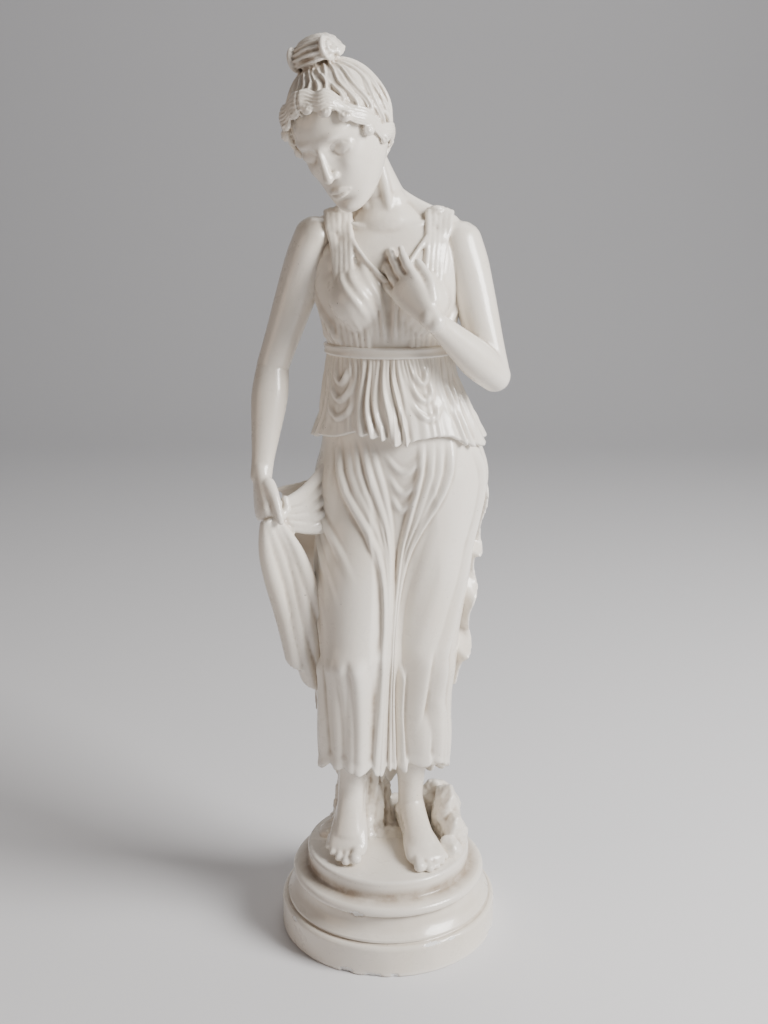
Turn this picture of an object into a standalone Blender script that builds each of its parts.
"""A plaster figure of a dancer, cast in one with her round turned plinth, in metres, +Z up.

The plinth is a turned body with its own sizes. The figure is drawn in parts of her own height, 721 of them
from the top of the plinth to the top of her hair: x runs to the viewer's right, y away from the viewer.
"""
import math

import bmesh
import bpy
import numpy as np
from mathutils import Matrix, Vector
from mathutils.bvhtree import BVHTree
from mathutils.bvhtree import BVHTree
from mathutils.bvhtree import BVHTree
from mathutils.bvhtree import BVHTree
from mathutils.bvhtree import BVHTree

# Driving sizes of the figure, in metres
FIGURE_HEIGHT = 0.721
FIGURE_SINK = 0.001  # how deep her soles go into the top of the plinth
FIGURE_FACES = 7600

# Driving sizes of the plinth, in metres
BASE_RADIUS = 0.100
BASE_HEIGHT = 0.0295
BASE_ROUND = 0.004
GROOVE_HEIGHT = 0.0025
GROOVE_DEPTH = 0.0035
FLARE_RADIUS = 0.0845  # the narrow end of the hollow between the base and the round moulding
FLARE_HEIGHT = 0.0195
TORUS_RADIUS = 0.0895
TORUS_HEIGHT = 0.0095
LEDGE_RISE = 0.002
TOP_RADIUS = 0.0755
TOP_HEIGHT = 0.0165
TOP_ROUND = 0.003
PLINTH_SIDES = 48

# Drawn measures of the figure, in 721ths of her height
DRAWN_HEIGHT = 721
SKIN_ROWS = 313  # how many rows of voxels her height is cut into when the shells are fused
CLOTH_SIDES = 200

PLINTH_HEIGHT = BASE_HEIGHT + GROOVE_HEIGHT + FLARE_HEIGHT + TORUS_HEIGHT + LEDGE_RISE + TOP_HEIGHT

# The torso, from the hips to the neck: x, y, z, half width, half depth
TORSO = (
    (11, 5, 318, 60, 42), (12, 5, 340, 66, 45), (12, 6, 362, 69, 47), (10, 4, 390, 64, 43),
    (6, 1, 420, 53, 37), (3, -1, 445, 47.5, 34.5), (1, -2, 470, 49.5, 35.5), (0, 0, 500, 56, 38.5),
    (-1, 3, 525, 60, 38), (-1, 6, 545, 60, 32), (-2, 8, 560, 47, 25), (-3, 8, 573, 30, 21),
    (-4, 8, 583, 20, 18),
)
# How the torso fades out below the hips, where the legs take over
SEAT = ((6, 0, 210, 3, 3), (6, 0, 240, 18, 16), (7, 2, 270, 34, 28), (8, 4, 295, 48, 36))
# The legs: x, y, z, radius
WEIGHT_LEG = (
    (22, 4, 430, 2), (28, 5, 395, 20), (33, 6, 360, 37), (34, 4, 320, 36), (33, 0, 270, 32),
    (30, -5, 215, 25), (29, -7, 190, 23), (27, -2, 165, 20.5), (25, 6, 130, 21.5), (22, 12, 85, 16),
    (21, 15, 50, 12), (21, 15, 20, 12),
)
FREE_LEG = (
    (0, 4, 430, 2), (-10, 4, 395, 20), (-18, 2, 360, 37), (-21, -5, 320, 36), (-25, -18, 270, 33),
    (-29, -33, 222, 26), (-30, -39, 203, 23.5), (-31, -35, 180, 21), (-32, -22, 140, 21),
    (-33, -6, 95, 16), (-33, 2, 62, 12), (-33, 8, 20, 12),
)

# The head's middle, and how far it is turned, bowed and tilted in degrees
HEAD = (-37, -12, 641)
HEAD_TURN, HEAD_NOD, HEAD_TILT = -30, 17, -17
head_place = (
    Matrix.Translation(HEAD)
    @ Matrix.Rotation(math.radians(HEAD_TILT), 4, "Y")
    @ Matrix.Rotation(math.radians(HEAD_TURN), 4, "Z")
    @ Matrix.Rotation(math.radians(HEAD_NOD), 4, "X")
)
# Shoulder, elbow and wrist of each arm
LEFT_ARM = ((61, 6, 549), (88, -18, 446), (33, -61, 499))
RIGHT_ARM = ((-63, 6, 553), (-99, 8, 449), (-108, -26, 362))

# Heights of the clothes
SKIRT_TOP, SKIRT_HEM = 440, 104
OVERFOLD_TOP, OVERFOLD_HEM, BELT = 466, 398, 467


# Reading tables of stations

def smooth_rows(stations, count):
    rows = np.array(stations, float)
    padded = np.vstack([2 * rows[0] - rows[1], rows, 2 * rows[-1] - rows[-2]])
    places = np.linspace(0, len(rows) - 1, count)
    i = np.minimum(places.astype(int), len(rows) - 2)
    t = (places - i)[:, None]
    a, b, c, d = (padded[i + k] for k in range(4))
    cubic = 3 * b - a - 3 * c + d
    return 0.5 * (2 * b + (c - a) * t + (2 * a - 5 * b + 4 * c - d) * t**2 + cubic * t**3)


def smooth_at(stations, z, columns):
    fine = smooth_rows(sorted(stations, key=lambda row: row[2]), 300)
    fine = fine[np.argsort(fine[:, 2])]
    return [np.interp(z, fine[:, 2], fine[:, k]) for k in columns]


def step(start, end, x):
    t = np.clip((x - start) / (end - start), 0, 1)
    return t * t * (3 - 2 * t)


def smooth_min(a, b, width):
    share = np.clip(0.5 + 0.5 * (b - a) / width, 0, 1)
    return b * (1 - share) + a * share - width * share * (1 - share)


def unit(v):
    v = np.array(v, float)
    return v / np.linalg.norm(v)


# From rings of points to closed shells

def loft(shells, rings):
    rings = np.array([np.vstack([ring, ring[:1]]) for ring in rings], float)
    rows, columns = rings.shape[:2]
    shell = bmesh.new()
    grid = bmesh.ops.create_grid(shell, x_segments=columns - 1, y_segments=rows - 1, size=1)["verts"]
    for vert, point in zip(grid, rings.reshape(-1, 3)):
        vert.co = point
    seam = {grid[k * columns + columns - 1]: grid[k * columns] for k in range(rows)}
    bmesh.ops.weld_verts(shell, targetmap=seam)
    bmesh.ops.holes_fill(shell, edges=[e for e in shell.edges if e.is_boundary])
    add_shell(shells, shell)


def add_shell(shells, shell):
    mesh = bpy.data.meshes.new("shell")
    shell.to_mesh(mesh)
    shell.free()
    shells.from_mesh(mesh)
    bpy.data.meshes.remove(mesh)


def limb(shells, stations, front=(0, -1, 0), sides=20, rings=20, power=2.0):
    rows = smooth_rows(stations, rings)
    centres, halves = rows[:, :3], rows[:, 3:5]
    ways = np.gradient(centres, axis=0)
    ways /= np.linalg.norm(ways, axis=1)[:, None]
    angles = np.linspace(0, 2 * math.pi, sides, endpoint=False)
    c, s = np.cos(angles), np.sin(angles)
    c = np.sign(c) * np.abs(c) ** (2 / power)
    s = np.sign(s) * np.abs(s) ** (2 / power)

    def ring(centre, way, half):
        across = unit(np.cross(way, front))
        ahead = np.cross(across, way)
        return centre + np.outer(c * half[0], across) + np.outer(s * half[1], ahead)

    made = []
    cap_steps = (0.97, 0.8, 0.5, 0.25)
    for k in cap_steps:
        shrink = math.sqrt(1 - k * k)
        made.append(ring(centres[0] - ways[0] * min(halves[0]) * k, ways[0], halves[0] * shrink))
    made += [ring(*row) for row in zip(centres, ways, halves)]
    for k in reversed(cap_steps):
        shrink = math.sqrt(1 - k * k)
        made.append(ring(centres[-1] + ways[-1] * min(halves[-1]) * k, ways[-1], halves[-1] * shrink))
    loft(shells, made)


def ball(shells, centre, radii, turn=Matrix.Identity(4)):
    shape = Matrix.Translation(centre) @ turn @ Matrix.Diagonal((*radii, 1))
    bmesh.ops.create_icosphere(shells, subdivisions=3, radius=1, matrix=shape)


def placed(matrix, stations):
    return [(*(matrix @ Vector(row[:3])), *row[3:]) for row in stations]


# Fusing shells, and laying strips on what is under them

def mesh_of(shells, name):
    bmesh.ops.recalc_face_normals(shells, faces=shells.faces)
    mesh = bpy.data.meshes.new(name)
    shells.to_mesh(mesh)
    shells.free()
    return mesh


def object_of(name, mesh):
    made = bpy.data.objects.new(name, mesh)
    bpy.context.scene.collection.objects.link(made)
    return made


def evaluated(made):
    graph = bpy.context.evaluated_depsgraph_get()
    mesh = bpy.data.meshes.new_from_object(made.evaluated_get(graph))
    mesh.calc_loop_triangles()
    return mesh


def fused(shells, faces=None):
    """overlapping shells as one even skin, thinned to a number of faces if one is given"""
    source = object_of("shells", mesh_of(shells, "shells"))
    skin = source.modifiers.new("skin", "REMESH")
    skin.mode = "VOXEL"
    skin.voxel_size = DRAWN_HEIGHT / SKIN_ROWS
    soften = source.modifiers.new("soften", "SMOOTH")
    soften.factor = 0.5
    soften.iterations = 2
    mesh = evaluated(source)
    if faces:
        thin = source.modifiers.new("thin", "DECIMATE")
        thin.ratio = faces / len(mesh.loop_triangles)
        mesh = evaluated(source)
    bpy.data.objects.remove(source)
    return mesh


def surface_of(mesh):
    shells = bmesh.new()
    shells.from_mesh(mesh)
    tree = BVHTree.FromBMesh(shells)
    shells.free()
    return tree


def laid(tree, path, above):
    rows = []
    for x, y, z, a, b in smooth_rows(path, max(16, len(path))):
        spot, way, _, _ = tree.find_nearest(Vector((x, y, z)))
        rows.append((*(spot + way * above), a, b))
    return rows


# The head, drawn round its own middle with the face to -y

SKULL = (  # z, half width, front, back
    (-53, 2.0, -34, -30), (-52, 8, -38.2, -21), (-48.5, 14.2, -40.0, -10), (-43, 19.2, -40.4, 0),
    (-35, 24.2, -40.6, 12), (-25, 28.4, -41.0, 26), (-14, 31.8, -41.6, 36), (-3, 34.0, -42.0, 42),
    (9, 35.2, -43.2, 46), (21, 35.4, -42.0, 47.5), (32, 33.5, -36.5, 45), (41, 28.0, -28, 39),
    (47, 20.5, -18, 31), (51, 11, -6, 20), (52, 2, 4, 9),
)
SOFT_FORMS = (  # x, z, how wide, how tall, how far out
    (14.5, -0.5, 7.6, 5.4, -5.6), (8.0, 0.5, 4.0, 5.0, -3.2), (0, -6, 5.5, 13, 3.4), (15, 10, 10, 3.4, 2.2),
    (30, 14, 8, 12, -1.2), (20.5, -12, 9, 6.5, 2.3), (10, -12, 4.5, 7, -1.2), (23, -30, 7, 9, -0.8),
    (0, -31, 10, 8, 3.0), (0, -40.3, 8, 2.2, -2.0), (0, -47, 7.5, 4.4, 3.0), (0, 24, 16, 9, 0.8),
)


def skull(shells):
    rings = []
    angles = np.linspace(0, 2 * math.pi, 56, endpoint=False)
    c, s = np.cos(angles), np.sin(angles)
    for z, half, front, back in smooth_rows(SKULL, 50):
        middle = front * 0.42 + back * 0.58
        x = np.sign(c) * np.abs(c) ** 0.9 * max(half, 1)
        depth = np.where(s < 0, middle - front, back - middle)
        y = middle + np.sign(s) * np.abs(s) ** 0.9 * depth
        for x0, z0, wide, tall, out in SOFT_FORMS:
            push = np.exp(-(((np.abs(x) - x0) / wide) ** 2) - ((z - z0) / tall) ** 2)
            y = y - out * push * step(-10, -26, y)
        rings.append(np.stack([x, y, 0 * x + z], axis=-1))
    loft(shells, rings)


def cut_ball(shells, centre, radii, level, slope, keep_above):
    lid = bmesh.new()
    shape = Matrix.Translation(centre) @ Matrix.Diagonal((*radii, 1))
    bmesh.ops.create_icosphere(lid, subdivisions=3, radius=1, matrix=shape)
    cut = bmesh.ops.bisect_plane(
        lid, geom=lid.verts[:] + lid.edges[:] + lid.faces[:], plane_co=(centre[0], centre[1], level),
        plane_no=(0, slope, 1), clear_inner=keep_above, clear_outer=not keep_above)
    rim = [e for e in cut["geom_cut"] if isinstance(e, bmesh.types.BMEdge)]
    bmesh.ops.edgeloop_fill(lid, edges=rim)
    add_shell(shells, lid)


def face(shells):
    nose = ((0, -39.6, 10, 3.4, 3.0), (0, -42.2, 3, 2.7, 3.2), (0, -44.4, -5, 2.8, 3.6),
            (0, -46.8, -13, 3.3, 3.9), (0, -48.3, -18.2, 4.0, 4.1))
    limb(shells, nose, sides=20, rings=24)
    for side in (-1, 1):
        ball(shells, (side * 4.3, -44.0, -18.5), (3.3, 4.6, 3.2))
        ball(shells, (side * 14.4, -30.8, -1.6), (7.2, 6.2, 5.6))
        cut_ball(shells, (side * 14.4, -30.8, -1.0), (8.8, 7.4, 6.8), -4.2, -0.25, True)
        cut_ball(shells, (side * 14.4, -30.8, -2.4), (8.2, 6.9, 5.8), -5.6, 0.25, False)
        ear = ((32.5, -1, -2, 1.8), (35.0, 4, 3, 2.0), (36.6, 10, 2, 2.0), (36.4, 12, -5, 2.0),
               (34.4, 8, -12, 2.0), (32.4, 2, -17, 2.8), (31.6, -0.5, -14, 2.0))
        limb(shells, [(side * x, y, z, r, r) for x, y, z, r in ear], sides=14, rings=40)
        ball(shells, (side * 32.0, 5, -5), (2.6, 6.5, 8.5))
    upper_lip = ((-9.6, -40.6, -32.4, 0.8, 0.8), (-5.6, -43.0, -30.9, 1.5, 1.8),
                 (-2.0, -44.6, -30.2, 1.8, 2.1), (0, -44.6, -30.8, 1.7, 2.0), (2.0, -44.6, -30.2, 1.8, 2.1),
                 (5.6, -43.0, -30.9, 1.5, 1.8), (9.6, -40.6, -32.4, 0.8, 0.8))
    lower_lip = ((-7.8, -41.0, -33.9, 0.8, 0.8), (-4.4, -43.0, -35.2, 1.8, 1.9), (0, -44.0, -35.8, 2.3, 2.3),
                 (4.4, -43.0, -35.2, 1.8, 1.9), (7.8, -41.0, -33.9, 0.8, 0.8))
    limb(shells, upper_lip, front=(0, 0, 1), sides=14, rings=30)
    limb(shells, lower_lip, front=(0, 0, 1), sides=14, rings=24)


# Hair: locks up to a knot, waves and curls along the brow

HAIR_CENTRE = np.array((0, 4, 8), float)
HAIR_RADII = np.array((39.5, 48.5, 47.5))
HAIRLINE = (  # degrees from the face, then x, y and z
    (0, 0.0, -41.0, 35), (25, 17.0, -38.0, 31), (48, 29.0, -29.0, 17), (72, 33.5, -11.0, -5),
    (100, 28.5, 9.0, -22), (140, 13.5, 23.5, -36), (180, 0.0, 27.5, -40),
)
CROWN = np.array((0, 12, 51), float)
LOCKS = 14
WAVE_ROWS = 5
CURLS = (  # degrees from the parting, height over the hairline, size
    (9, 2.5, 4.6), (27, -0.5, 4.8), (45, 1.0, 4.6), (64, -1.0, 4.4), (84, 0.5, 4.0),
)
KNOT = np.array((0, 14, 64), float)
KNOT_STRANDS = 9


def hairline(angle):
    rows = smooth_rows(HAIRLINE, 100)
    degrees = abs(math.degrees(math.remainder(angle, 2 * math.pi)))
    x, y, z = (np.interp(degrees, rows[:, 0], rows[:, k]) for k in (1, 2, 3))
    return np.array((math.copysign(x, math.sin(angle)), y, z))


def over_hair(start, share):
    a, b = unit(start - HAIR_CENTRE), unit(CROWN - HAIR_CENTRE)
    between = math.acos(float(np.clip(a @ b, -1, 1)))
    way = (math.sin((1 - share) * between) * a + math.sin(share * between) * b) / math.sin(between)
    nape = step(0.05, 0.75, -way[2]) * step(0, 0.6, way[1])
    reach = (1 - 0.17 * nape) / np.linalg.norm(way / HAIR_RADII)
    near = np.linalg.norm(start - HAIR_CENTRE)
    return HAIR_CENTRE + way * (near + (reach - near) * step(0, 0.35, share))


def lock_path(k, aside, above):
    start = hairline(2 * math.pi * (k + 0.5) / LOCKS)
    swing = 0.5 * k + 0.9 * math.sin(k * 2.3)
    path = []
    for share in np.linspace(0, 0.97, 14):
        p = over_hair(start, share)
        out = unit(p - HAIR_CENTRE)
        side = np.cross(out, unit(CROWN - start))
        wave = 4.2 * math.sin(share * 11 + swing) * (1 - share) ** 0.8 * step(0, 0.15, share)
        path.append(p + side * (wave + aside * (1 - 0.6 * share)) + out * (above - 4.5))
    return start, path


def hair(shells):
    ball(shells, (0, 4, 14), (37.2, 45, 43))
    for k in range(LOCKS):
        start, path = lock_path(k, 0, 0)
        share = np.linspace(0, 1, len(path))
        grown = 0.25 + 0.75 * step(0, 0.32, share)
        width, depth = 8.8 * (1 - 0.42 * share) * grown, 6.8 * (1 - 0.3 * share) * grown
        limb(shells, [(*p, a, b) for p, a, b in zip(path, width, depth)], front=start - HAIR_CENTRE)


def on_hair(degrees, lift, above):
    """a point lift above the hairline along the scalp, and the ways out of and up it"""
    middle = hairline(math.radians(degrees))
    out = unit(middle - HAIR_CENTRE)
    up = unit(CROWN - middle - out * np.dot(CROWN - middle, out))
    return middle + up * lift + out * above, out, up


def wave_path(side, row, above):
    path = []
    for share in np.linspace(0, 1, 26):
        swing = share * 6.6 * math.pi + 0.8 + 0.3 * side
        lift = 2.5 + row * 3.3 * (1 - 0.35 * share) + 2.3 * math.sin(swing) * step(0, 0.12, share)
        bulge = 1.6 + 1.6 * math.sin(math.pi * (row + 0.5) / WAVE_ROWS) + 1.1 * math.sin(swing + 1.2)
        path.append(on_hair(side * (2.5 + 103 * share), lift, bulge * (1 - 0.5 * share) + above)[0])
    return path


def brow_hair(shells):
    for side in (-1, 1):
        for row in range(WAVE_ROWS):
            path = wave_path(side, row, 0)
            taper = 0.55 + 0.45 * np.sin(np.linspace(0.25, 0.85, len(path)) * math.pi)
            limb(shells, [(*p, 2.3 * k, 2.5 * k) for p, k in zip(path, taper)], sides=12, rings=60)
        for degrees, lift, size in CURLS:
            ball(shells, on_hair(side * degrees, lift, 2.0)[0], (size, size, size))


def knot_strand(k, aside, high):
    tilt = math.radians(-80 + k * 20)
    path = []
    for share in np.linspace(-0.04, 1.04, 13):
        turn = math.pi * share
        wave = 1.5 * math.sin(share * 8 + k * 0.6)
        p = np.array((-math.cos(turn) * 21.5, math.sin(tilt) * 15.5 * math.sin(turn) + aside + wave,
                      math.cos(tilt) * (15.5 + high) * math.sin(turn) - 6))
        path.append(KNOT + p)
    return path


def knot(shells):
    ball(shells, KNOT - (0, 0, 3), (18, 13, 10))
    ball(shells, KNOT - (0, 1, 11), (17, 14, 8))
    for k in range(KNOT_STRANDS):
        for aside in (-1.7, 1.7):
            rows = [(*p, 2.0, 2.5) for p in knot_strand(k, aside, 0.6 * math.sin(k * 1.9))]
            limb(shells, rows, front=(0.1, -1, 0.2), sides=10, rings=30)
    for side in (-1, 1):
        ball(shells, KNOT + (side * 16, -7, -1), (6, 9, 9))


# Chest, neck, arms and hands

FINGERS = ((30, 4.1), (33, 4.2), (31, 4.0), (25, 3.5))
PALM = 35


def chest(shells):
    limb(shells, [row for row in TORSO if row[2] > 460], sides=48, rings=30, power=2.25)
    for side, z in ((-1, 513), (1, 510)):
        ball(shells, (side * 26.5, -24, z), (23, 21, 22))
        ball(shells, (side * 27.5, -32, z - 5), (17, 16, 16))
    for x, z in ((-45, 563), (43, 560)):
        ball(shells, (x, 8, z), (24, 17, 12))


def neck(shells):
    base = np.array((-5, 12, 583), float)
    top = np.array(head_place @ Vector((0, 9, -16)))
    middle = (base + top) / 2 + (1, 1, 0)
    limb(shells, ((-3, 8, 566, 31, 24), (*base, 21.5, 20), (*middle, 18.6, 18.6), (*top, 19.5, 21)), sides=32)
    nape = ((-16, 10, 622, 10, 9), (-9, 15, 598, 14, 10), (-4, 18, 574, 27, 11), (-2, 17, 545, 40, 14))
    limb(shells, nape, sides=32)
    for side in (-1, 1):
        slope = ((side * 6 - 9, 13, 598, 7, 7), (side * 22 - 3, 11, 579, 11, 9), (side * 48, 8, 563, 14, 11))
        limb(shells, slope)


def arm(shells, joints, front):
    shoulder, elbow, wrist = (np.array(p, float) for p in joints)
    upper, lower = elbow - shoulder, wrist - elbow
    upper_rows = ((-0.04, 17.5, 19.5), (0.12, 18.5, 20.5), (0.3, 18, 19), (0.55, 16.4, 17.4),
                  (0.8, 14.8, 15), (1, 14, 14))
    lower_rows = ((-0.02, 13.6, 13.6), (0.14, 15.2, 15), (0.32, 15.6, 14.4), (0.6, 12.6, 11.4),
                  (0.85, 9.8, 8.4), (1.02, 9.4, 7.4))
    limb(shells, [(*(shoulder + upper * t), a, b) for t, a, b in upper_rows], front, sides=28)
    limb(shells, [(*(elbow + lower * t), a, b) for t, a, b in lower_rows], front, sides=28)


def hand(shells, wrist, along, back, thumb_side, curl, spread):
    wrist, along = np.array(wrist, float), unit(along)
    back = unit(back - along * np.dot(back, along))
    across = np.cross(back, along) * thumb_side
    palm = ((-6, 8.6, 7.2), (6, 10.5, 7), (20, 14, 6.6), (31, 15, 6), (PALM + 1, 14, 5.2))
    limb(shells, [(*(wrist + along * t), a, b) for t, a, b in palm], front=back, sides=24, power=2.3)
    for k, (length, radius) in enumerate(FINGERS):
        root = wrist + along * (PALM - abs(k - 1.3) * 1.6) - across * (k - 1.5) * 7.1
        turn = spread * (k - 1.5)
        way = along * math.cos(turn) - across * math.sin(turn)
        rows = [(*(root - way * 7), radius, radius), (*root, radius * 1.08, radius * 1.08)]
        bend, p = 0.0, root
        for share, angle, slim in zip((0.42, 0.31, 0.27), curl, (1, 0.95, 0.78)):
            bend += math.radians(angle)
            reach = (way * math.cos(bend) - back * math.sin(bend)) * length * share
            rows.append((*(p + reach * 0.5), radius * slim * 0.95, radius * slim * 0.95))
            p = p + reach
            rows.append((*p, radius * slim, radius * slim))
        limb(shells, rows, front=back, sides=16, rings=26)
    root = wrist + along * 9 + across * 9 - back * 3
    middle = root + along * 15 + across * 8 - back * 3
    tip = middle + along * 17 + across * 2 - back * 3
    thumb = ((*root, 5.8, 6), (*((root + middle) / 2), 6.4, 6), (*middle, 4.9, 4.6),
             (*((middle + tip) / 2), 4.6, 4.4), (*tip, 3.6, 3.4))
    limb(shells, thumb, front=back, sides=16)


def arms(shells):
    arm(shells, LEFT_ARM, (-0.5, -0.6, 0.6))
    arm(shells, RIGHT_ARM, (0, -1, 0))
    hand(shells, LEFT_ARM[2], (-0.65, 0.29, 0.70), (-0.35, -0.93, -0.1), -1, (12, 14, 10), 0.08)
    hand(shells, RIGHT_ARM[2], (0.06, -0.34, -0.94), (-0.93, -0.36, 0.1), 1, (62, 80, 45), 0.03)


# Feet

FOOT_TOES = ((10.5, 79, 5.8), (2.0, 80, 4.2), (-5.0, 76, 3.9), (-11.5, 70, 3.7), (-17.0, 63, 3.4))


def foot(shells, ankle, turn, pitch, big_toe_side):
    place = (
        Matrix.Translation(ankle)
        @ Matrix.Rotation(math.radians(turn), 4, "Z")
        @ Matrix.Rotation(math.radians(pitch), 4, "X")
    )
    up = place.to_3x3() @ Vector((0, 0, 1))
    place = place @ Matrix.Diagonal((big_toe_side, 1, 1, 1))
    sole = ((0, 16, -11, 11, 10.5), (0, 0, -9, 12.5, 13), (0, -22, -10, 13.5, 12), (0.8, -42, -12.5, 17, 9.5),
            (1, -58, -14.5, 18.5, 7.5), (1, -64, -15.5, 17, 6))
    instep = ((0, 2, 16, 11.5, 13), (0, -10, 4, 12, 12.5), (0.5, -30, -5, 12.5, 10), (1, -50, -11, 14, 8))
    limb(shells, placed(place, sole), front=up, sides=28)
    limb(shells, placed(place, instep), front=up, sides=24)
    for side in (-1, 1):
        ball(shells, place @ Vector((side * 10.5, 1, 3)), (4, 5.5, 5.5))
    bend = math.tan(math.radians(-0.6 * pitch))
    for x, tip, radius in FOOT_TOES:
        level = -22 + radius * 0.95
        drop = bend * (tip - 58)
        toe = ((x * 0.96, -50, level + 1, radius, radius), (x * 0.98, -58, level + 1, radius, radius),
               (x, -(tip + 58) / 2, level + 1.5 - drop * 0.5, radius * 0.88, radius * 0.9),
               (x, -tip + radius, level - drop, radius * 1.02, radius * 0.9))
        limb(shells, placed(place, toe), front=up, sides=16, rings=18)


def feet(shells):
    for leg in (WEIGHT_LEG, FREE_LEG):
        limb(shells, [(x, y, z, r, r) for x, y, z, r in leg if z < 200])
    foot(shells, (21, 18, 22), 14, 0, -1)
    foot(shells, (-33, 6, 60), -8, 38, 1)


# The dress: cloth cast round the body as rings of points, height by height

def body_axis(z):
    lx, ly = smooth_at(WEIGHT_LEG, z, (0, 1))
    fx, fy = smooth_at(FREE_LEG, z, (0, 1))
    tx, ty = smooth_at(SEAT + TORSO, z, (0, 1))
    share = step(280, 400, z)
    return tx * share + (lx + fx) / 2 * (1 - share), ty * share + (ly + fy) / 2 * (1 - share)


def leg_gap(x, y, z):
    lx, ly, lr = smooth_at(WEIGHT_LEG, z, (0, 1, 3))
    fx, fy, fr = smooth_at(FREE_LEG, z, (0, 1, 3))
    bare = np.minimum(np.hypot(x - lx, y - ly) - lr, np.hypot(x - fx, y - fy) - fr)
    ex, ey = fx - lx, fy - ly
    t = np.clip(((x - lx) * ex + (y - ly) * ey) / np.maximum(ex * ex + ey * ey, 1), 0, 1)
    web_radius = (lr + (fr - lr) * t) * (1 - 1.8 * t * (1 - t))
    web = np.hypot(x - lx - ex * t, y - ly - ey * t) - web_radius
    tx, ty, tw, td = smooth_at(SEAT + TORSO, z, (0, 1, 3, 4))
    torso = (np.hypot((x - tx) / tw, (y - ty) / td) - 1) * np.minimum(tw, td)
    return smooth_min(smooth_min(web, bare, 12), torso, 14), np.minimum(bare, torso)


def chest_gap(x, y, z):
    tx, ty, tw, td = smooth_at(TORSO, z, (0, 1, 3, 4))
    gap = (np.hypot((x - tx) / tw, (y - ty) / td) - 1) * np.minimum(tw, td)
    for side, level in ((-1, 513), (1, 510)):
        for centre, radius in (((side * 26.5, -24, level), 22), ((side * 27.5, -32, level - 5), 16.5)):
            far = np.sqrt((x - centre[0]) ** 2 + (y - centre[1]) ** 2 + (z - centre[2]) ** 2)
            gap = smooth_min(gap, far - radius, 6)
    return gap, gap


class Cast:
    """radius round the body's axis, by height and angle, at which cloth clears what is under it"""

    def __init__(self, heights, sides, gap, clearance, cling):
        self.z = heights[:, None] + np.zeros(sides)[None, :]
        around = np.linspace(0, 2 * math.pi, sides, endpoint=False)
        self.angle = around[None, :] + 0 * self.z  # none at the viewer, growing to the viewer's right
        self.cx, self.cy = body_axis(self.z)
        self.dx, self.dy = np.sin(self.angle), -np.cos(self.angle)
        near, far = np.full(self.z.shape, 4.0), np.full(self.z.shape, 150.0)
        for _ in range(20):
            middle = (near + far) / 2
            inside = gap(*self.points(middle))[0] < clearance
            near, far = np.where(inside, middle, near), np.where(inside, far, middle)
        r = (near + far) / 2
        for i in range(1, len(r)):
            fall = cling * (heights[i - 1] - heights[i])
            shift_x, shift_y = self.cx[i - 1] - self.cx[i], self.cy[i - 1] - self.cy[i]
            held = r[i - 1] + shift_x * self.dx[i] + shift_y * self.dy[i] - fall
            r[i] = np.maximum(r[i], held)
        self.r = r
        self.free = gap(*self.points(r))[1] - clearance

    def points(self, r):
        return self.cx + self.dx * r, self.cy + self.dy * r, self.z

    def rings(self, r, drop):
        x, y, z = self.points(r)
        return list(np.stack([x, y, z - drop], axis=-1))

    def ridge(self, path, width, height, head=0.15, tail=0.25, hook=0.0):
        """a ridge along a path of angle in degrees and z, fading at both ends and steeper on one side"""
        path = smooth_rows(path, 16)
        reach = np.interp(path[:, 1][::-1], self.z[::-1, 0], np.mean(self.r, axis=1)[::-1])[::-1]
        px, pz = np.radians(path[:, 0]) * reach, path[:, 1]
        x = (np.mod(self.angle + math.pi, 2 * math.pi) - math.pi) * np.mean(self.r, axis=1)[:, None]
        best, share, over = np.full(self.z.shape, 1e9), np.zeros(self.z.shape), np.zeros(self.z.shape)
        for k in range(len(path) - 1):
            ex, ez = px[k + 1] - px[k], pz[k + 1] - pz[k]
            t = np.clip(((x - px[k]) * ex + (self.z - pz[k]) * ez) / (ex * ex + ez * ez), 0, 1)
            gap = np.hypot(x - px[k] - ex * t, self.z - pz[k] - ez * t)
            side = np.sign((x - px[k]) * ez - (self.z - pz[k]) * ex)
            nearer = gap < best
            best, over = np.where(nearer, gap, best), np.where(nearer, side, over)
            share = np.where(nearer, (k + t) / (len(path) - 1), share)
        spread = width * (1 + hook * over)
        bump = np.clip(1 - (best / spread) ** 2, 0, 1) ** 1.4
        return height * bump * step(-0.01, head, share) * step(-0.01, tail, 1 - share)

    def bunch(self, first, last, count, width, height, head=0.15, tail=0.25, hook=0.0):
        """ridges side by side, from one guide line over to another"""
        first, last = np.array(first, float), np.array(last, float)
        shares = (np.linspace(0, 1, count) + 0.1 * np.sin(np.arange(count) * 2.4) / count).clip(0, 1)
        lines = [first + (last - first) * s for s in shares]
        return sum(self.ridge(line, width, height * (0.75 + 0.25 * math.cos(2.1 * k)), head, tail, hook)
                   for k, line in enumerate(lines))


def crest(phase, sharp):
    return (0.5 + 0.5 * np.cos(phase)) ** sharp


def folds(angle, count, seed, wander):
    rng = np.random.default_rng(seed)
    widths = 1 + wander * (rng.random(count) * 2 - 1)
    edges = np.concatenate([[0], np.cumsum(widths)]) / widths.sum() * 2 * math.pi
    tall = 0.55 + 0.45 * rng.random(count)
    a = np.mod(angle, 2 * math.pi)
    which = np.clip(np.searchsorted(edges, a, side="right") - 1, 0, count - 1)
    share = (a - edges[which]) / (edges[which + 1] - edges[which])
    return (share - 0.5) * 2 * math.pi, tall[which]


def turned_in(cast, r, rings, steps):
    for inward, up in steps:
        rings.append(np.stack([cast.cx[-1] + cast.dx[-1] * (r[-1] - inward),
                               cast.cy[-1] + cast.dy[-1] * (r[-1] - inward), rings[-1][:, 2] + up], axis=-1))
    return rings


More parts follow.
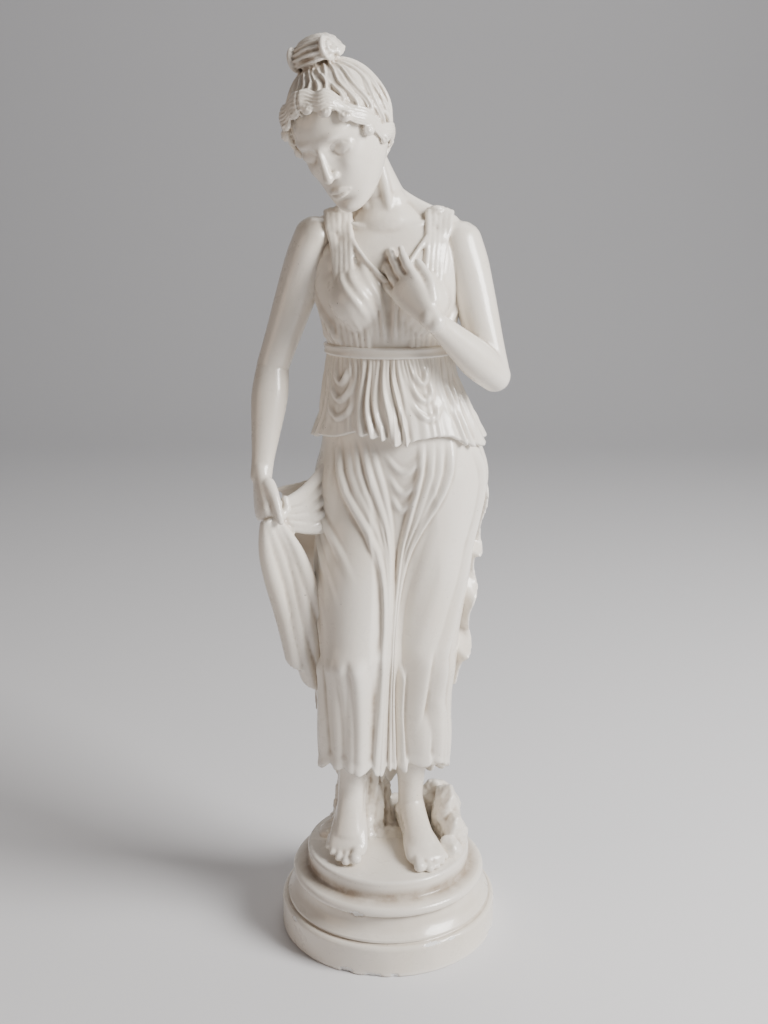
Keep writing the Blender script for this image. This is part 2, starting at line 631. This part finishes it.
# Bunches of folds: first and last guide line in degrees and z, how many, width, height, how soon they fade
BUNCHES = (
    (((-66, 398), (-45, 350), (-19, 300), (-9, 250), (-9, 190), (-12, 104)),
     ((-34, 398), (-16, 350), (-4, 300), (1, 250), (2, 190), (3, 104)), 3, 6.5, 4.2, 0.02),
    (((24, 398), (15, 350), (8, 300), (6, 250), (8, 190), (13, 104)),
     ((54, 398), (38, 350), (21, 300), (16, 250), (20, 190), (32, 104)), 3, 6.5, 4, 0.02),
    (((-96, 346), (-74, 330), (-50, 302), (-34, 268)),
     ((-96, 306), (-86, 268), (-76, 232), (-68, 190)), 3, 6, 3.6, 0.6),
    (((-30, 212), (-27, 176), (-25, 140), (-24, 104)),
     ((-84, 204), (-80, 170), (-76, 140), (-74, 104)), 4, 8, 5, 0.02),
    (((74, 392), (80, 320), (82, 240), (84, 104)),
     ((104, 392), (108, 320), (110, 240), (112, 104)), 3, 7, 4, 0.02),
    (((46, 196), (46, 160), (47, 130), (48, 104)),
     ((66, 210), (66, 170), (66, 140), (66, 104)), 2, 8, 4.4, 0.02),
)


def skirt(shells):
    heights = np.linspace(SKIRT_TOP, SKIRT_HEM, 96)
    cast = Cast(heights, CLOTH_SIDES, leg_gap, 2.0, 0.24)
    down = (SKIRT_TOP - cast.z) / (SKIRT_TOP - SKIRT_HEM)
    hang = step(1, 10, cast.free)
    in_front = step(0.0, 0.5, np.cos(cast.angle - 0.05))
    sweep = cast.angle + 0.05 * np.sin(cast.z / 60) + 0.12 * (down - 0.4) * np.sin(cast.angle)
    phase, tall = folds(sweep, 20, 4, 0.35)
    behind = step(-0.1, -0.8, np.cos(cast.angle)) * step(0.1, 0.5, down)
    height = 8 * hang * (0.3 + 0.7 * down) + 4.5 * behind + 3 * step(0.7, 1, down)
    height = height * tall * (1 - in_front)
    below = step(404, 384, cast.z)
    r = cast.r + below * height * (crest(phase, 0.8) - 0.45)
    r = r + below * (1.5 + 0.8 * down) * sum(cast.bunch(first, last, count, width, tall_line, 0.12, tail, 0.2)
                                     for first, last, count, width, tall_line, tail in BUNCHES)
    r = r + 2 * step(0.85, 1, down) + 3 * step(0.6, 1, down) * (0.5 - 0.5 * np.cos(cast.angle))
    r = r + 1.4 * step(0.968, 0.985, down)
    back = (0.5 - 0.5 * np.cos(cast.angle)) ** 2
    drop = 8 * np.sin(cast.angle + 0.5) + 4 * np.sin(cast.angle * 3 + 0.6)
    drop = (drop + 1.8 * (r - cast.r) + 40 * back) * step(0.6, 1, down)
    turn = ((1.6, -0.8), (5.2, -0.6), (14, 4))
    rings = turned_in(cast, r, cast.rings(r, drop), turn)
    loft(shells, rings)


def overfold(shells):
    heights = np.linspace(OVERFOLD_TOP, OVERFOLD_HEM, 34)
    cast = Cast(heights, CLOTH_SIDES, leg_gap, 2.0, 0.0)
    down = (OVERFOLD_TOP - cast.z) / (OVERFOLD_TOP - OVERFOLD_HEM)
    phase, tall = folds(cast.angle + 0.05 * np.sin(down * 5 + cast.angle * 3), 18, 11, 0.45)
    bunched = step(0.25, 0.75, 0.5 + 0.5 * np.cos(4 * cast.angle + 0.9))
    r = cast.r + 1 + 6.5 * down + 2.5 * down * bunched
    r = r + (2 + 6.5 * down) * (0.12 + 0.88 * bunched) * (crest(phase, 0.9) * tall - 0.35)
    drop = 4 * np.sin(cast.angle * 2 - 0.8) + 3 * np.sin(cast.angle * 5 + 1) + 5 * bunched
    turn = ((1.6, -0.8), (5.2, -0.4), (14, 3))
    rings = turned_in(cast, r, cast.rings(r, drop * down**3), turn)
    loft(shells, rings)


def belt(shells):
    profile = ((-4.6, -3), (-4.5, 0.4), (-3.7, 1.8), (-2.4, 2.0), (-1.4, 1.5), (1.4, 1.5), (2.4, 2.0),
               (3.7, 1.8), (4.5, 0.4), (4.6, -3))
    cast = Cast(np.array([BELT + rise for rise, _ in profile], float), CLOTH_SIDES, leg_gap, 2.0, 0.0)
    r = cast.r[4][None, :] + 2.4 + np.array([out for _, out in profile])[:, None]
    loft(shells, cast.rings(r, 0))


def bodice(shells, chest_tree):
    heights = np.linspace(572, BELT - 4, 54)
    cast = Cast(heights, CLOTH_SIDES, chest_gap, 1.6, 1.0)
    r = cast.r.copy()
    for side in (-1, 1):
        along_v = [(side * a, z) for a, z in ((58, 566), (43, 551), (28, 538), (15, 524), (8, 508), (6, 472))]
        over_breast = [(side * a, z) for a, z in
                       ((66, 566), (58, 548), (46, 532), (30, 515), (22, 500), (22, 472))]
        r = r + cast.bunch(along_v, over_breast, 2, 5, 3, 0.1, 0.1)
        by_arm = [(side * a, z) for a, z in ((72, 562), (86, 535), (84, 508), (68, 488), (56, 472))]
        under_arm = [(side * a, z) for a, z in ((96, 556), (118, 530), (118, 505), (106, 485), (96, 472))]
        r = r + cast.bunch(by_arm, under_arm, 3, 5, 3, 0.1, 0.1)
        behind = [(side * a, z) for a, z in ((128, 562), (140, 525), (136, 472))]
        at_spine = [(side * a, z) for a, z in ((168, 556), (172, 520), (176, 472))]
        r = r + cast.bunch(behind, at_spine, 3, 5.5, 2.6, 0.1, 0.1)
    aside = np.abs(cast.cx + cast.dx * r)
    neckline = np.where(cast.dy < 0.2, 522 + aside * 1.25, 541 + 0.011 * aside**2)
    bare = np.maximum(step(-2, 2, cast.z - neckline), step(550, 562, cast.z))
    loft(shells, cast.rings(r - 6 * bare, 0))
    back_hem = [(x, 45, 541 + 0.011 * x * x, 2.1, 2.1) for x in np.linspace(-36, 36, 9)]
    limb(shells, laid(chest_tree, back_hem, 1.5), sides=12, rings=40)
    for side in (-1, 1):
        hem = [(side * x, y, 524 + 1.2 * x, 2.2, 2.2) for x, y in
               ((0, -45), (6, -48), (13, -50), (20, -46), (27, -36), (32, -24))]
        limb(shells, laid(chest_tree, hem, 1.6), sides=12, rings=30)
        for k in range(5):
            x = side * (31 + 4.4 * k)
            over = ((-42, 518 - 3 * k), (-30, 540), (-20, 556), (-10, 566), (0, 574), (10, 574), (20, 568),
                    (30, 552), (36, 536), (38, 516))
            thick = (0.5, 1.6, 2.4, 2.7, 2.9, 2.9, 2.7, 2.4, 1.6, 0.5)
            strip = [(x + side * 0.06 * (z - 545), y, z, t, t) for (y, z), t in zip(over, thick)]
            limb(shells, laid(chest_tree, strip, 1.4), sides=12, rings=34)
        clasp = chest_tree.find_nearest(Vector((side * 40, 0, 580)))[0] + Vector((0, 0, 2.5))
        ball(shells, clasp, (6.5, 6.5, 3))


# Cloth that hangs free: sheets folded to and fro, and rippled edges

def skin_of_sheet(shells, middle, thick):
    """closes a sheet, given as rows of points, to a slab of even thickness"""
    down_way = np.gradient(middle, axis=0)
    out_way = np.gradient(middle, axis=1)
    normal = np.cross(down_way, out_way)
    normal /= np.maximum(np.linalg.norm(normal, axis=2), 1e-6)[:, :, None]
    front, rear = middle + normal * thick / 2, middle - normal * thick / 2
    loft(shells, [np.vstack([a, b[::-1]]) for a, b in zip(front, rear)])


def across_of(outward):
    outward = unit(outward)
    ahead = np.array((outward[1], -outward[0], 0))
    return outward, -ahead if ahead[1] > 0 else ahead


def cascade(shells, spine, outward, turns, tops, hems, thick=4.0):
    spine = np.array(sorted(spine, key=lambda row: row[2]), float)
    fine = smooth_rows(spine, 80)
    outward, ahead = across_of(outward)
    u = np.linspace(0, 1, 26 * turns)[None, :]
    v = np.linspace(0, 1, 70)[:, None]
    swing = 2 * math.pi * turns * u
    top = tops[0] + (tops[1] - tops[0]) * u
    hem = hems[0] + (hems[1] - hems[0]) * u
    z = top + (hem - top) * v
    x0, y0, width, depth = (np.interp(z, fine[:, 2], fine[:, k]) for k in (0, 1, 3, 4))
    sway = 1.5 * np.sin(z * 0.05 + u * 6)
    out = width * (u - 2.8 * np.sin(swing) / (2 * math.pi * turns)) + sway
    fore = depth * (0.5 - 0.5 * np.cos(swing)) + sway
    x = x0 + outward[0] * out + ahead[0] * fore
    y = y0 + outward[1] * out + ahead[1] * fore
    skin_of_sheet(shells, np.stack([x, y, z], axis=-1), thick)


def ruffle(shells, seam, outward, ripples, phase, thick=5.0):
    """a sheet that hangs from a seam of x, y, z and width, with a rippled free edge"""
    rows = smooth_rows(seam, 130)
    outward, ahead = across_of(outward)
    u = np.linspace(0, 1, 26)[None, :]
    v = np.linspace(0, 1, len(rows))[:, None]
    uneven = 0.05 * np.sin(v * 7 + phase) + 0.03 * np.sin(v * 17 + 2 * phase)
    swing = 2 * math.pi * ripples * (v + uneven) + phase - 1.4 * u
    width = rows[:, 3][:, None] * (1 + 0.12 * np.sin(v * 9 + 3 * phase))
    out = width * u * (1 + 0.10 * u * np.cos(swing))
    deep = 0.40 + 0.16 * np.sin(v * 13 + 5 * phase)
    fore = deep * np.sqrt(width * 20) * u**1.3 * (np.sin(swing) + 0.25 * np.sin(2 * swing + 1))
    x = rows[:, 0][:, None] + outward[0] * out + ahead[0] * fore
    y = rows[:, 1][:, None] + outward[1] * out + ahead[1] * fore
    z = rows[:, 2][:, None] - 5 * u * np.cos(swing + 0.6) - 6 * u
    skin_of_sheet(shells, np.stack([x, y, z], axis=-1), thick)


LIFTED = ((-99, -46, 336, 6, 5), (-88, -38, 318, 20, 8), (-74, -28, 292, 34, 10), (-60, -20, 250, 42, 13),
          (-53, -16, 200, 38, 14), (-48, -12, 150, 30, 14), (-44, -8, 104, 24, 12))
EDGE_LEFT = ((-60, 4, 352, 30), (-60, 6, 300, 38), (-56, 8, 240, 34), (-50, 10, 180, 26), (-46, 12, 130, 16))
EDGE_RIGHT = ((56, 6, 390, 12), (60, 4, 345, 24), (56, 4, 290, 27), (50, 4, 230, 25), (44, 6, 160, 18))


def hanging_cloth(shells):
    cascade(shells, LIFTED, (-1, -0.3, 0), 4, (334, 326), (112, 200))
    ruffle(shells, EDGE_LEFT, (-1, 0.1, 0), 4.4, 0.4)
    ruffle(shells, EDGE_RIGHT, (1, -0.1, 0), 4.3, 2.0)
    ruffle(shells, [(x - 4, y + 14, z, w - 2) for x, y, z, w in EDGE_RIGHT], (1, 0.3, 0), 3.7, 4.4)
    for k in range(5):
        start = np.array((-43, -8 - 3.5 * k, 376 - 15 * k), float)
        end = np.array((-101, -42, 336 - 2 * k), float)
        middle = (start + end) / 2 - (0, 2, 9 - k)
        limb(shells, [(*start, 6, 4), (*middle, 5.4, 3.6), (*end, 3.6, 3.4)])


# What she stands beside

STUMP = ((-8, 37), (0, 35), (14, 28), (45, 24), (95, 22), (140, 21), (150, 18))
LUMPS = ((55, 20, 12, 17, 24, 42), (62, -2, 8, 13, 17, 27), (46, 42, 6, 22, 16, 36), (56, -20, 2, 13, 13, 15),
         (12, 50, 2, 26, 14, 20), (2, 24, -2, 30, 30, 9), (-52, 14, 0, 14, 18, 12), (-48, -8, -2, 12, 12, 8))


def boulder(shells, centre, radii, seed):
    lump = bmesh.new()
    bmesh.ops.create_icosphere(lump, subdivisions=3, radius=1)
    rng = np.random.default_rng(seed)
    cuts = rng.normal(size=(14, 3))
    for cut in cuts / np.linalg.norm(cuts, axis=1)[:, None]:
        way, reach = Vector(cut), 0.78
        for v in lump.verts:
            beyond = v.co.dot(way) - reach
            if beyond > 0:
                v.co -= way * beyond * 0.9
    bmesh.ops.scale(lump, vec=radii, verts=lump.verts)
    bmesh.ops.translate(lump, vec=centre, verts=lump.verts)
    add_shell(shells, lump)


def stump(shells):
    angles = np.linspace(0, 2 * math.pi, 60, endpoint=False)
    rings = []
    for z, radius in smooth_rows(STUMP, 40):
        bark = 1.6 * np.cos(angles * 9 + z * 0.05) + 1.2 * np.cos(angles * 14 - z * 0.11 + 1)
        bark = bark + 0.8 * np.cos(angles * 31 + 2 * np.sin(z * 0.2))
        bark = bark + 3.5 * np.cos(angles * 5 + 0.6) * step(30, 0, z)
        r = radius + bark
        rings.append(np.stack([-24 + r * np.cos(angles), 34 + 0.85 * r * np.sin(angles), 0 * r + z], axis=-1))
    loft(shells, rings)


def rock(shells):
    for k, (x, y, z, a, b, c) in enumerate(LUMPS):
        boulder(shells, (x, y, z), (a, b, c), k + 3)


# The whole casting

def head(shells):
    made = bmesh.new()
    skull(made)
    face(made)
    hair(made)
    brow_hair(made)
    knot(made)
    bmesh.ops.transform(made, matrix=head_place, verts=made.verts)
    add_shell(shells, made)


def figure():
    shells = bmesh.new()
    chest(shells)
    neck(shells)
    chest_tree = surface_of(fused(shells.copy()))
    head(shells)
    arms(shells)
    bodice(shells, chest_tree)
    belt(shells)
    overfold(shells)
    skirt(shells)
    hanging_cloth(shells)
    feet(shells)
    stump(shells)
    rock(shells)
    return fused(shells, FIGURE_FACES)


def plinth_profile():
    """radius and height up the side of the plinth, from the middle of its underside"""
    points = [(0, 0), (BASE_RADIUS - BASE_ROUND * 0.3, 0), (BASE_RADIUS, BASE_ROUND * 0.3)]
    for k in range(4):
        turn = math.pi / 2 * k / 3
        points.append((BASE_RADIUS - BASE_ROUND * (1 - math.cos(turn)),
                       BASE_HEIGHT - BASE_ROUND * (1 - math.sin(turn))))
    z = BASE_HEIGHT + GROOVE_HEIGHT
    foot = BASE_RADIUS - GROOVE_DEPTH - BASE_ROUND * 0.4
    points += [(foot - BASE_ROUND * 0.6, BASE_HEIGHT), (foot, z)]
    for k in range(1, 5):
        share = k / 4
        bow = (1 - share) ** 2.2
        points.append((FLARE_RADIUS + (foot - FLARE_RADIUS) * bow, z + FLARE_HEIGHT * share))
    z += FLARE_HEIGHT
    points.append((TORUS_RADIUS - TORUS_HEIGHT * 0.42, z))
    for k in range(1, 5):
        turn = -math.pi / 2 + math.pi * k / 5
        points.append((TORUS_RADIUS - TORUS_HEIGHT * 0.5 * (1 - math.cos(turn)),
                       z + TORUS_HEIGHT * 0.5 * (1 + math.sin(turn))))
    z += TORUS_HEIGHT
    points += [(TORUS_RADIUS - TORUS_HEIGHT * 0.42, z), (TOP_RADIUS, z + LEDGE_RISE)]
    top = z + LEDGE_RISE + TOP_HEIGHT
    for k in range(3):
        turn = math.pi / 2 * k / 2
        points.append((TOP_RADIUS - TOP_ROUND * (1 - math.cos(turn)), top - TOP_ROUND * (1 - math.sin(turn))))
    points.append((0, top))
    return points


def plinth(bm):
    profile = [bm.verts.new((radius, 0, z)) for radius, z in plinth_profile()]
    edges = [bm.edges.new(pair) for pair in zip(profile, profile[1:])]
    bmesh.ops.spin(bm, geom=profile + edges, cent=(0, 0, 0), axis=(0, 0, 1), angle=2 * math.pi,
                   steps=PLINTH_SIDES, use_merge=True)
    bmesh.ops.remove_doubles(bm, verts=bm.verts, dist=1e-6)


def plaster():
    material = bpy.data.materials.new("cream painted plaster")
    material.use_nodes = True
    shader = material.node_tree.nodes["Principled BSDF"]
    shader.inputs["Base Color"].default_value = (0.79, 0.745, 0.68, 1)
    shader.inputs["Roughness"].default_value = 0.3
    shader.inputs["Metallic"].default_value = 0.0
    return material


def main():
    for old in list(bpy.data.objects):
        bpy.data.objects.remove(old)
    mesh = figure()
    onto_plinth = Matrix.Translation((0, 0, PLINTH_HEIGHT - FIGURE_SINK))
    mesh.transform(onto_plinth @ Matrix.Scale(FIGURE_HEIGHT / DRAWN_HEIGHT, 4))
    mesh.shade_smooth()
    mesh.set_sharp_from_angle(angle=math.radians(50))
    statue = object_of("dancer_statue", mesh)
    statue.data.materials.append(plaster())
    bm = bmesh.new()
    plinth(bm)
    turned = object_of("turned_plinth", mesh_of(bm, "turned_plinth"))
    turned.hide_render = True
    turned.display_type = "WIRE"
    union = statue.modifiers.new("cast in one", "BOOLEAN")
    union.operation = "UNION"
    union.solver = "EXACT"
    union.object = turned


main()
